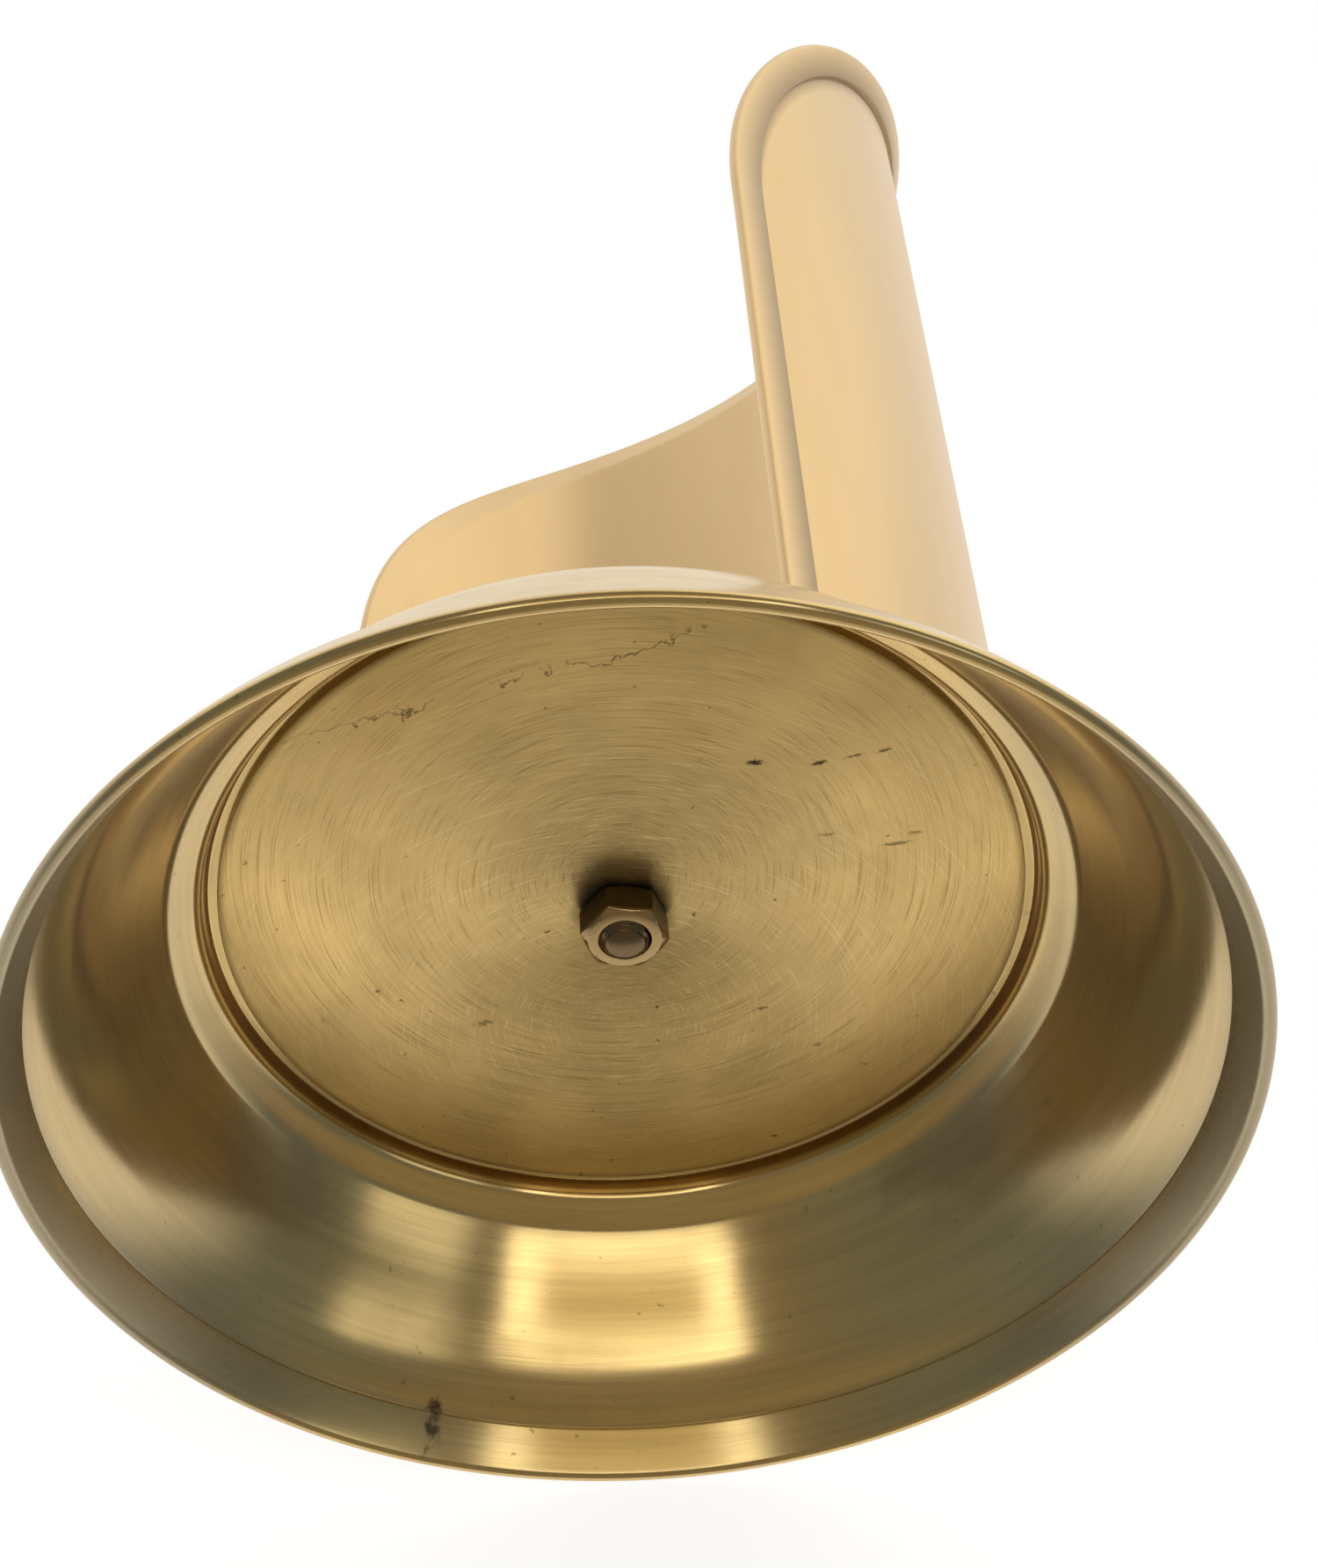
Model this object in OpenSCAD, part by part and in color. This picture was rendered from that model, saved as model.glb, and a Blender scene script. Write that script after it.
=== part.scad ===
/* [Base] */
// Outside diameter of the spun base at its rolled rim
base_d = 200; // [160:1:250]
// Height of the flat top of the base above the table
base_h = 45; // [36:0.5:56]
// Thickness of the spun base sheet
base_wall = 1.0; // [0.8:0.1:1.6]
// Length of the folded hem inside the rim
hem_len = 7.8; // [6:0.1:9]
// Thickness of the flat disc under the base top
disc_t = 1.5; // [1:0.1:2.5]
// Width of the dark groove around the disc
disc_groove = 1.2; // [0.8:0.1:3]

/* [Shield] */
// Outside diameter of the curved shield
shield_d = 135; // [112:1:162]
// Overall height from the table to the top of the arch
shield_top = 280; // [235:1:336]
// Height of the arched part of the free edge
arch_h = 113; // [90:1:135]
// Angle that the shield wraps to each side of its back
wrap_half = 103; // [86:1:120]
// Thickness of the shield sheet
shield_wall = 0.9; // [0.7:0.1:1.4]
// Width of the folded hem around the free edge
edge_hem = 7.0; // [5:0.5:9]
// Outward flare of the folded hem
edge_flare = 15; // [5:1:20]
// Thickness of the disc that closes the foot of the shield
floor_t = 1.0; // [0.8:0.1:2]

/* [Fastening] */
// Diameter of the threaded stud
stud_d = 8; // [6:0.5:10]
// Width of the nut across its flats
nut_af = 13; // [12:0.5:17]
// Height of the nut
nut_h = 6.5; // [4:0.5:8]
// Angle that the nut came to rest at when it was tightened
nut_turn = 4; // [0:1:60]
// Length of stud that shows below the nut
stud_show = 1.8; // [1:0.1:3]

/* [Pole socket] */
// Diameter of the bore that takes the pole
bore_d = 26; // [20:0.5:32]
// Thickness of the socket tube wall
tube_wall = 2.0; // [1.5:0.1:3]
// Length of the socket tube
tube_len = 59; // [48:1:72]
// Diameter of the foot flange
foot_d = 52; // [44:1:62]
// Thickness of the foot flange
foot_t = 3; // [2:0.5:5]
// Height of the spigot that centres the tube
spigot_h = 6; // [5:0.5:10]
// Thickness of the felt disc in the bottom of the bore
felt_t = 2; // [1:0.5:4]
// Height of the collar around the mouth of the tube
collar_h = 6; // [4:0.5:10]
// How far the collar stands out from the tube
collar_t = 2.2; // [1:0.1:4]

/* [Clamp screw] */
// Diameter of the clamp screw
screw_d = 6; // [5:0.5:8]
// Height of the screw axis above the foot flange
screw_rise = 21; // [18:0.5:30]
// Diameter of the boss that the screw runs in
boss_d = 13; // [11:0.5:18]
// How far the boss stands out from the tube
boss_len = 7; // [5:0.5:12]
// Distance that the screw can be driven in
screw_travel = 5; // [3:0.5:6]
// Diameter of the knurled knob
knob_d = 17; // [14:0.5:22]
// Thickness of the knob
knob_t = 7; // [5:0.5:10]
// Length of the brass pad on the tip of the screw
pad_len = 3.6; // [3:0.1:5]

/* [Hidden] */
$fn = 96;

// Clearances
stud_gap = 0.25;
fit_gap = 0.05;
hem_gap = 0.1;
hem_air = 0.25;
hem_lap = 0.2;
seat_step = 0.5;
seat_gap = 0.3;
felt_gap = 0.2;
pad_inset = 0.2;
stud_cover = 1;

// Edges and small details
rim_wear = 0.05;
edge_break = 0.3;
chamfer = 1;
stud_chamfer = 0.8;
nut_sink = 0.4;
nut_face = 0.92;
nut_slope = 30;
knob_dish = 1.5;
knurls = 24;
knurl_r = 0.8;
knurl_off = 0.35;

// Bends of the spun and folded sheet
flat_lap = 0.5;
step_a = -78;
step_r = 0.8;
step_len = 2;
ledge_a = -19;
ledge_r = 3;
ledge_len = 2.3;
shoulder_r = 4.2;
wall_steep = 0.2;
bow_share = [0.075, 0.17, 0.2, 0.16, 0.04];
bow_turn = [-3, -3.5, 3.5, 14, 2];
lip_len = 1.4;
lip_turn = -18;
roll_r = 0.3;
bend_steps = 16;
side_steps = 6;
arch_steps = 72;
arch_power = 2.47;
roll_steps = 8;
foot_inset = 0.5;

// Levels of the clamped stack, from the base top down and up
base_r = base_d / 2;
top_in = base_h - base_wall;
disc_z = top_in - disc_t;
nut_z = disc_z - nut_h;
floor_z = base_h;
foot_z = floor_z + floor_t;
tube_z = foot_z + foot_t;
felt_z = tube_z + spigot_h;
mouth_z = tube_z + tube_len;
screw_z = tube_z + screw_rise;

// Radii that follow each other from the shield to the base
shield_r = shield_d / 2;
flat_r = shield_r + flat_lap;
disc_r = flat_r - disc_groove;
stud_hole_r = stud_d / 2 + stud_gap;
bore_r = bore_d / 2;
seat_r = bore_r + seat_step;
seat_top = felt_z + felt_t + seat_gap;
tube_r = bore_r + tube_wall;
boss_end = tube_r + boss_len;
knob_y = boss_end + screw_travel + chamfer;
pad_y = bore_r + pad_inset;
spigot_r = screw_d / 4;
spigot_len = pad_len / 2;

// A path is a list of [point, heading]; each leg is [length, turn, steps]
function unit(a) = [cos(a), sin(a)];
function chord(len, turn) = turn == 0 ? len : len * sin(turn / 2) / (turn / 2 * PI / 180);
function leg_end(s, len, turn) = [s[0] + chord(len, turn) * unit(s[1] + turn / 2), s[1] + turn];
function leg(s, l) = [for (i = [1:l[2]]) leg_end(s, l[0] * i / l[2], l[1] * i / l[2])];
function trace(s, legs, i = 0) =
    i == len(legs) ? [] :
    let (pts = leg(s, legs[i])) concat(pts, trace(pts[len(pts) - 1], legs, i + 1));
function side(path, d) = [for (s = path) s[0] + d * unit(s[1] + 90)];
function flip(list) = [for (i = [len(list) - 1:-1:0]) list[i]];
function arc_len(r, turn) = r * abs(turn) * PI / 180;
function aim(a, b) = atan2(b[1] - a[1], b[0] - a[0]);

// Legs of the base section, on its inner face from the centre out to the rim
roll_c = [base_r - base_wall - roll_r, base_wall + roll_r - rim_wear];
wall_a = aim([flat_r, top_in], roll_c) - wall_steep;
wall_span = norm(roll_c - [flat_r, top_in]);
top_start = [[stud_hole_r, top_in], 0];
top_legs = [
    [flat_r - stud_hole_r, 0, 1],
    [arc_len(step_r, step_a), step_a, 6],
    [step_len, 0, 1],
    [arc_len(ledge_r, ledge_a - step_a), ledge_a - step_a, 8],
    [ledge_len, 0, 1],
    [arc_len(shoulder_r, wall_a - ledge_a), wall_a - ledge_a, 6],
    for (i = [0:4]) [bow_share[i] * wall_span, bow_turn[i], 4],
    [lip_len, lip_turn, 4]];
top_path = concat([top_start], trace(top_start, top_legs));
wall_end = top_path[len(top_path) - 1];
flare_aim = aim(wall_end[0], roll_c);
flare_end = roll_c - roll_r * unit(flare_aim - 90);
flare_turn = 2 * (aim(wall_end[0], flare_end) - wall_end[1]);
flare_len = norm(flare_end - wall_end[0]) / chord(1, flare_turn);
flare_path = leg(wall_end, [flare_len, flare_turn, 8]);
hem_close = 2 * (2 * roll_r - hem_gap) / hem_len * 180 / PI;
hem_turn = -flare_turn * hem_len / flare_len - hem_close;
hem_legs = [[arc_len(roll_r, 180), -180, bend_steps], [hem_len, hem_turn, 8]];
base_path = concat(top_path, flare_path, trace(flare_path[len(flare_path) - 1], hem_legs));

// Free edge of the shield on the flattened sheet, as [arc position, height]
half_arc = shield_r * wrap_half * PI / 180;
spring_z = shield_top - arch_h;
function edge_side(i) = [half_arc, floor_z + (spring_z - floor_z) * i / side_steps];
function edge_arch(a) =
    [sign(cos(a)) * half_arc * pow(abs(cos(a)), 2 / arch_power), spring_z + arch_h * sin(a)];
edge_pts = concat(
    [for (i = [0:side_steps - 1]) edge_side(i)],
    [for (i = [0:arch_steps]) edge_arch(180 * i / arch_steps)],
    [for (i = [side_steps - 1:-1:0]) [-edge_side(i)[0], edge_side(i)[1]]]);
edge_n = len(edge_pts);
function edge_dir(i) =
    i == 0 ? [0, 1] :
    i == edge_n - 1 ? [0, -1] :
    let (d = edge_pts[i + 1] - edge_pts[i - 1]) d / norm(d);
function edge_out(i) = [edge_dir(i)[1], -edge_dir(i)[0]];

// Section of the folded edge: [distance outward from the bend line, distance off the outer face]
edge_roll = shield_wall + hem_air;
edge_tip = edge_hem - edge_roll;
tip_mid = [edge_tip, edge_tip * tan(edge_flare) + edge_roll - shield_wall];
edge_section = concat(
    [[0, -shield_wall]],
    [for (i = [0:roll_steps]) tip_mid + edge_roll * unit(edge_flare - 90 + 180 * i / roll_steps)],
    [[hem_lap, shield_wall], [hem_lap, 0], [0, 0]]);

// Point of the sheet that stands e outward of the bend line, n off the outer face
function wrap(s, z, n) =
    let (a = s / shield_r * 180 / PI) [(shield_r + n) * sin(a), (shield_r + n) * cos(a), z];
function bend_pt(i) = edge_pts[i] - edge_hem * edge_out(i);
function foot_s(i) = (half_arc - edge_hem - foot_inset) * (1 - 2 * i / (edge_n - 1));
function shield_ring(i) = concat(
    [wrap(foot_s(i), floor_z, -shield_wall)],
    [for (q = edge_section) let (p = bend_pt(i) + q[0] * edge_out(i)) wrap(p[0], p[1], q[1])],
    [wrap(foot_s(i), floor_z, 0)]);

// A closed solid through equal rings of points
module skin(rings) {
    m = len(rings[0]);
    n = len(rings);
    pts = [for (r = rings) for (p = r) p];
    sides = [for (i = [0:n - 2]) for (j = [0:m - 1])
        let (a = i * m + j, b = i * m + (j + 1) % m)
        for (f = [[a, b, b + m], [a, b + m, a + m]]) f];
    caps = [[for (j = [m - 1:-1:0]) j], [for (j = [0:m - 1]) (n - 1) * m + j]];
    polyhedron(points = pts, faces = concat(sides, caps), convexity = 8);
}

// A ring or disc turned about the stand's axis
module ring(r_in, r_out, z, h) {
    rotate_extrude()
        translate([r_in, z])
            square([r_out - r_in, h]);
}

// Moves a turned piece from the Z axis onto the clamp screw's axis, pointing to the front
module on_screw_axis() {
    translate([0, 0, screw_z])
        rotate([90, 0, 0])
            children();
}

module base_shell() {
    section = concat(side(base_path, 0), flip(side(base_path, base_wall)));
    color("goldenrod")
        rotate_extrude()
            polygon([for (p = section) [p[0], max(p[1], 0)]]);
}

module backing_disc() {
    color("darkgoldenrod")
        rotate_extrude()
            polygon([[stud_hole_r, top_in], [stud_hole_r, disc_z], [disc_r - edge_break, disc_z],
                     [disc_r, disc_z + edge_break], [disc_r, top_in]]);
}

module hex_nut() {
    corner_r = nut_af / sqrt(3);
    face_r = nut_face * nut_af / 2;
    crown = (corner_r - face_r) * tan(nut_slope);
    bore = stud_d / 2 + fit_gap;
    color("peru")
        intersection() {
            rotate([0, 0, nut_turn])
                translate([0, 0, nut_z])
                    cylinder(r = corner_r, h = nut_h, $fn = 6);
            rotate_extrude()
                polygon([[bore + nut_sink, nut_z], [face_r, nut_z], [corner_r, nut_z + crown],
                         [corner_r, disc_z - crown], [face_r, disc_z],
                         [bore, disc_z], [bore, nut_z + nut_sink]]);
        }
}

module stud() {
    r = stud_d / 2;
    foot = nut_z - stud_show;
    top = felt_z - stud_cover;
    color("tan")
        rotate_extrude()
            polygon([[0, foot], [r - 2 * stud_chamfer, foot], [r, foot + stud_chamfer],
                     [r, top - stud_chamfer], [r - stud_chamfer, top], [0, top]]);
}

module shield() {
    color("gold")
        skin([for (i = [0:edge_n - 1]) shield_ring(i)]);
}

module shield_floor() {
    color("khaki")
        ring(stud_hole_r, shield_r - shield_wall - fit_gap, floor_z, floor_t);
}

module socket_foot() {
    r = foot_d / 2;
    neck = seat_r - fit_gap;
    hole = stud_d / 2 + fit_gap;
    deep = felt_z - stud_cover / 2 - foot_z;
    color("goldenrod")
        difference() {
            rotate_extrude()
                polygon([[0, foot_z], [r, foot_z], [r, foot_z + foot_t / 2], [r - foot_t / 2, tube_z],
                         [neck, tube_z], [neck, felt_z], [0, felt_z]]);
            translate([0, 0, foot_z - deep])
                cylinder(r = hole, h = 2 * deep);
        }
}

module socket_tube() {
    color("gold")
        difference() {
            rotate_extrude()
                polygon([[seat_r, tube_z], [tube_r, tube_z], [tube_r, mouth_z], [bore_r, mouth_z],
                         [bore_r, seat_top], [seat_r, seat_top]]);
            on_screw_axis()
                cylinder(r = screw_d / 2 + fit_gap, h = 2 * tube_r);
        }
}

module socket_collar() {
    r = tube_r + collar_t;
    z = mouth_z - collar_h;
    color("goldenrod")
        rotate_extrude()
            polygon([[tube_r, z], [tube_r + collar_t / 2, z], [r, z + collar_t],
                     [r, mouth_z - collar_t / 2], [r - collar_t / 2, mouth_z], [tube_r, mouth_z]]);
}

module pole_felt() {
    color("darkred")
        ring(0, seat_r - felt_gap, felt_z, felt_t);
}

module clamp_boss() {
    r = boss_d / 2;
    bore = screw_d / 2 + fit_gap;
    color("goldenrod")
        difference() {
            on_screw_axis()
                rotate_extrude()
                    polygon([[bore, bore], [r, bore], [r, boss_end - chamfer],
                             [r - chamfer, boss_end], [bore, boss_end]]);
            translate([0, 0, screw_z - boss_d])
                cylinder(r = tube_r, h = 2 * boss_d);
        }
}

module thumb_screw() {
    r = screw_d / 2;
    kr = knob_d / 2;
    shank_y = pad_y + pad_len + 2 * fit_gap;
    tip_y = shank_y - spigot_len + 2 * fit_gap;
    knob_end = knob_y + knob_t;
    color("peru")
        on_screw_axis()
            difference() {
                rotate_extrude()
                    polygon([[0, tip_y], [spigot_r, tip_y], [spigot_r, shank_y], [r, shank_y],
                             [r, knob_y], [kr - chamfer, knob_y], [kr, knob_y + chamfer],
                             [kr, knob_end - knob_dish], [kr - knob_dish, knob_end], [0, knob_end]]);
                for (i = [0:knurls - 1])
                    rotate([0, 0, 360 / knurls * i])
                        translate([kr + knurl_off, 0, knob_y - chamfer])
                            cylinder(r = knurl_r, h = knob_t + 2 * chamfer, $fn = 16);
            }
}

module pressure_pad() {
    r = screw_d / 2;
    socket_r = spigot_r + fit_gap;
    socket_y = pad_y + pad_len - spigot_len;
    color("tan")
        on_screw_axis()
            rotate_extrude()
                polygon([[0, pad_y], [r - chamfer / 2, pad_y], [r, pad_y + chamfer / 2],
                         [r, pad_y + pad_len], [socket_r, pad_y + pad_len],
                         [socket_r, socket_y], [0, socket_y]]);
}

base_shell();
backing_disc();
hex_nut();
stud();
shield();
shield_floor();
socket_foot();
socket_tube();
socket_collar();
pole_felt();
clamp_boss();
thumb_screw();
pressure_pad();
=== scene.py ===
import math

import bmesh
import bpy
import numpy as np
from mathutils import Euler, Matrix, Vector


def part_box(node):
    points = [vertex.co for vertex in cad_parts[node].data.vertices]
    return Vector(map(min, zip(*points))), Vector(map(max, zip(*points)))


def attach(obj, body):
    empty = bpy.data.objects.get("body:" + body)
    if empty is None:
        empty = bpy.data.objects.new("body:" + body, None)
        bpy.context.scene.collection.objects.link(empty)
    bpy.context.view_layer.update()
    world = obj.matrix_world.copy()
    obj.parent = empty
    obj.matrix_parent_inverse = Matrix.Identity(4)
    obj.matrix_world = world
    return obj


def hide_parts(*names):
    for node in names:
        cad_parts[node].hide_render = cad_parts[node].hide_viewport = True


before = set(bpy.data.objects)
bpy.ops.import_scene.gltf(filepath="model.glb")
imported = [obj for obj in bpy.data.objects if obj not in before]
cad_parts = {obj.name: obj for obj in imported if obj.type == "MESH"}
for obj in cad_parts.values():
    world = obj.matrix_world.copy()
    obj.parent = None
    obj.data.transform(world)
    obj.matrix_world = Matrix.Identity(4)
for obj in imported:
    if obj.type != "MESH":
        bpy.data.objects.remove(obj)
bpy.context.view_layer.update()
mm = 0.001


# ---- sizes, in metres: boxes from the frame, and the sheet and bend sizes of the source ----

base_lo, base_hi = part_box("base_shell")
disc_lo, disc_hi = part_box("backing_disc")
nut_lo, nut_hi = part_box("hex_nut")
stud_lo, stud_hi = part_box("stud")
shield_lo, shield_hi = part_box("shield")
floor_lo, floor_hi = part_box("shield_floor")
foot_lo, foot_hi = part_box("socket_foot")
tube_lo, tube_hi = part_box("socket_tube")
collar_lo, collar_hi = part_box("socket_collar")
felt_lo, felt_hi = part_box("pole_felt")
boss_lo, boss_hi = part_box("clamp_boss")
screw_lo, screw_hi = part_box("thumb_screw")
pad_lo, pad_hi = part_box("pressure_pad")

rim_r = 100 * mm
base_top = base_hi.z
base_wall = 1.0 * mm
flat_r = 68.0 * mm
stud_r = stud_hi.x
stud_hole = stud_r + 0.25 * mm
shield_r = 67.5 * mm
shield_wall = 0.9 * mm
arch_h = 113 * mm
wrap_half = math.radians(103)
edge_hem = 7.0 * mm
edge_flare = math.radians(15)
nut_turn = math.radians(4)
nut_half = 6.5 * mm
tube_r = tube_hi.x
bore_r = 13 * mm
seat_r = 13.5 * mm
seat_top = 57.3 * mm
screw_z = (boss_lo.z + boss_hi.z) / 2
screw_r = 3 * mm
knob_r = (screw_hi.z - screw_lo.z) / 2


# ---- shapes ----

def ring(angle):
    """Unit vectors (cos a, sin a), stacked on a new last axis."""
    return np.stack([np.cos(angle), np.sin(angle)], -1)


def walk(start, heading, legs):
    """Points and headings along legs of (length, turn, steps), each an arc.

    After a share f of a leg the point is a chord of length * f * sinc(turn * f / 2) away,
    at heading + turn * f / 2.
    """
    points, headings = [np.array([start], float)], [np.array([heading])]
    for length, turn, steps in legs:
        f = np.arange(1, steps + 1) / steps
        chord = length * f * np.sinc(turn * f / 2 / math.pi)
        points.append(points[-1][-1] + chord[:, None] * ring(heading + turn * f / 2))
        headings.append(heading + turn * f)
        heading += turn
    return np.concatenate(points), np.concatenate(headings)


def rounded(corners, radii, steps=5, closed=True):
    """An outline whose corners are arcs tangent to both sides; a radius of 0 keeps the corner."""
    corners = np.array(corners, float)
    out = []
    for k, radius in enumerate(radii):
        here, before, after = corners[k], corners[k - 1], corners[(k + 1) % len(corners)]
        if radius <= 0 or (not closed and k in (0, len(corners) - 1)):
            out.append(here[None])
            continue
        u, v = before - here, after - here
        lu, lv = np.linalg.norm(u), np.linalg.norm(v)
        u, v = u / lu, v / lv
        half = math.acos(np.clip(u @ v, -1, 1)) / 2
        reach = min(radius / math.tan(half), 0.49 * lu, 0.49 * lv)
        middle = here + (u + v) / np.linalg.norm(u + v) * reach / math.cos(half)
        a, b = here + u * reach - middle, here + v * reach - middle
        sweep = math.pi - 2 * half
        t = np.linspace(0, 1, steps)[:, None]
        out.append(middle + (np.sin((1 - t) * sweep) * a + np.sin(t * sweep) * b) / math.sin(sweep))
    return np.concatenate(out)


def grid_faces(rows, cols, wrap_rows, wrap_cols):
    """Quads of a grid of rows by cols points; a wrapped side joins its last line to its first."""
    i = np.arange(rows if wrap_rows else rows - 1)[:, None]
    j = np.arange(cols if wrap_cols else cols - 1)[None, :]
    i2, j2 = (i + 1) % rows, (j + 1) % cols
    return np.stack([i * cols + j, i * cols + j2, i2 * cols + j2, i2 * cols + j], -1).reshape(-1, 4)


def turned(outline, steps):
    """Turns a closed (r, z) outline about Z: (r cos t, r sin t, z)."""
    t = np.arange(steps)[:, None] * 2 * math.pi / steps
    r, z = outline[None, :, 0], outline[None, :, 1]
    points = np.stack([r * np.cos(t), r * np.sin(t), z + 0 * t], -1).reshape(-1, 3)
    return points, grid_faces(steps, len(outline), True, True)


def turned_varying(radius, z, steps):
    """Turns rows about Z whose radius depends on the angle: radius(t) gives one value per row."""
    t = np.arange(steps)[:, None] * 2 * math.pi / steps
    r = radius(t)
    points = np.stack([r * np.cos(t), r * np.sin(t), z + 0 * r], -1).reshape(-1, 3)
    return points, grid_faces(steps, r.shape[1], True, True)


def thread(t, z, pitch, depth):
    """Depth of a right-hand 60 degree thread: a triangle wave of z / pitch - t / 2 pi, flat at crest
    and root."""
    wave = np.abs(((z / pitch - t / (2 * math.pi)) % 1.0) * 2 - 1)
    return depth * np.clip(1.35 * wave - 0.12, 0, 1)


def onto_screw_axis(points):
    """Lays a piece turned about Z along the clamp screw, so its Z runs out to the front."""
    return np.stack([points[:, 0], -points[:, 2], screw_z + points[:, 1]], -1)


def piece(name, shape, material, body, replaces=(), sharp=35, caps=(), grime_and_shade=None):
    """One object from points and quads, with its faces turned outwards and poles closed. Grime_and_shade is a
    value for each point, painted shade with some grime, which the material reads as an attribute."""
    points, quads = shape
    a, b, c, d = (points[quads[:, k]] for k in range(4))
    volume = (np.cross(a, b) * c).sum() + (np.cross(a, c) * d).sum()
    faces = quads.tolist() + [list(cap) for cap in caps]
    mesh = bpy.data.meshes.new(name)
    mesh.from_pydata(points.tolist(), [], faces)
    if grime_and_shade is not None:
        mesh.attributes.new("grime_and_shade", "FLOAT", "POINT").data.foreach_set("value", grime_and_shade)
    tidy = bmesh.new()
    tidy.from_mesh(mesh)
    bmesh.ops.remove_doubles(tidy, verts=tidy.verts, dist=1e-7)
    if caps:
        bmesh.ops.recalc_face_normals(tidy, faces=tidy.faces)
    elif volume < 0:
        bmesh.ops.reverse_faces(tidy, faces=tidy.faces)
    tidy.to_mesh(mesh)
    tidy.free()
    mesh.validate()
    mesh.shade_smooth()
    mesh.set_sharp_from_angle(angle=math.radians(sharp))
    mesh.materials.append(material)
    made = bpy.data.objects.new(name, mesh)
    bpy.context.collection.objects.link(made)
    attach(made, body)
    if replaces:
        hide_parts(*replaces)
    return made


def base_outline():
    """Section of the spun base: inner face from the centre, down the step beside the disc, over the
    ledge and the bowed wall, round the rim roll and up the hem, then back along the other side of
    the sheet, one wall away. Each bend is radius * |turn| long, and the last arc, from P at heading h
    to Q, turns twice the angle between h and PQ."""
    top_in = base_top - base_wall
    step, ledge = math.radians(-78), math.radians(-19)
    roll_r, worn, hem, hem_gap = 0.3 * mm, 0.05 * mm, 7.8 * mm, 0.1 * mm
    roll = np.array([rim_r - base_wall - roll_r, base_wall + roll_r - worn])
    reach = roll - (flat_r, top_in)
    span, wall = np.linalg.norm(reach), math.atan2(reach[1], reach[0]) - math.radians(0.2)
    inner, heading = walk((stud_hole, top_in), 0, [
        (flat_r - stud_hole, 0, 2),
        (0.8 * mm * abs(step), step, 8),
        (2.0 * mm, 0, 2),
        (3.0 * mm * abs(ledge - step), ledge - step, 14),
        (2.3 * mm, 0, 3),
        (4.2 * mm * abs(wall - ledge), wall - ledge, 16),
        (0.075 * span, math.radians(-3), 8),
        (0.17 * span, math.radians(-3.5), 10),
        (0.2 * span, math.radians(3.5), 10),
        (0.16 * span, math.radians(14), 18),
        (0.04 * span, math.radians(2), 4),
        (1.4 * mm, math.radians(-18), 8)])
    aim = math.atan2(*(roll - inner[-1])[::-1])
    chord = roll - roll_r * ring(aim - math.pi / 2) - inner[-1]
    turn = 2 * (math.atan2(chord[1], chord[0]) - heading[-1])
    flare = np.linalg.norm(chord) / np.sinc(turn / 2 / math.pi)
    closing = 2 * (2 * roll_r - hem_gap) / hem
    outer, outer_heading = walk(inner[-1], heading[-1], [
        (flare, turn, 16), (roll_r * math.pi, -math.pi, 22), (hem, -turn * hem / flare - closing, 14)])
    inner = np.concatenate([inner, outer[1:]])
    heading = np.concatenate([heading, outer_heading[1:]])
    far = inner + base_wall * ring(heading + math.pi / 2)
    lip = rounded([inner[-2], inner[-1], far[-1], far[-2]], [0, 0.15 * mm, 0.25 * mm, 0], 5, False)
    outline = np.concatenate([inner[:-1], lip[1:-1], far[-2::-1]])
    outline[:, 1] = np.maximum(outline[:, 1], 0)
    return outline


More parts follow.
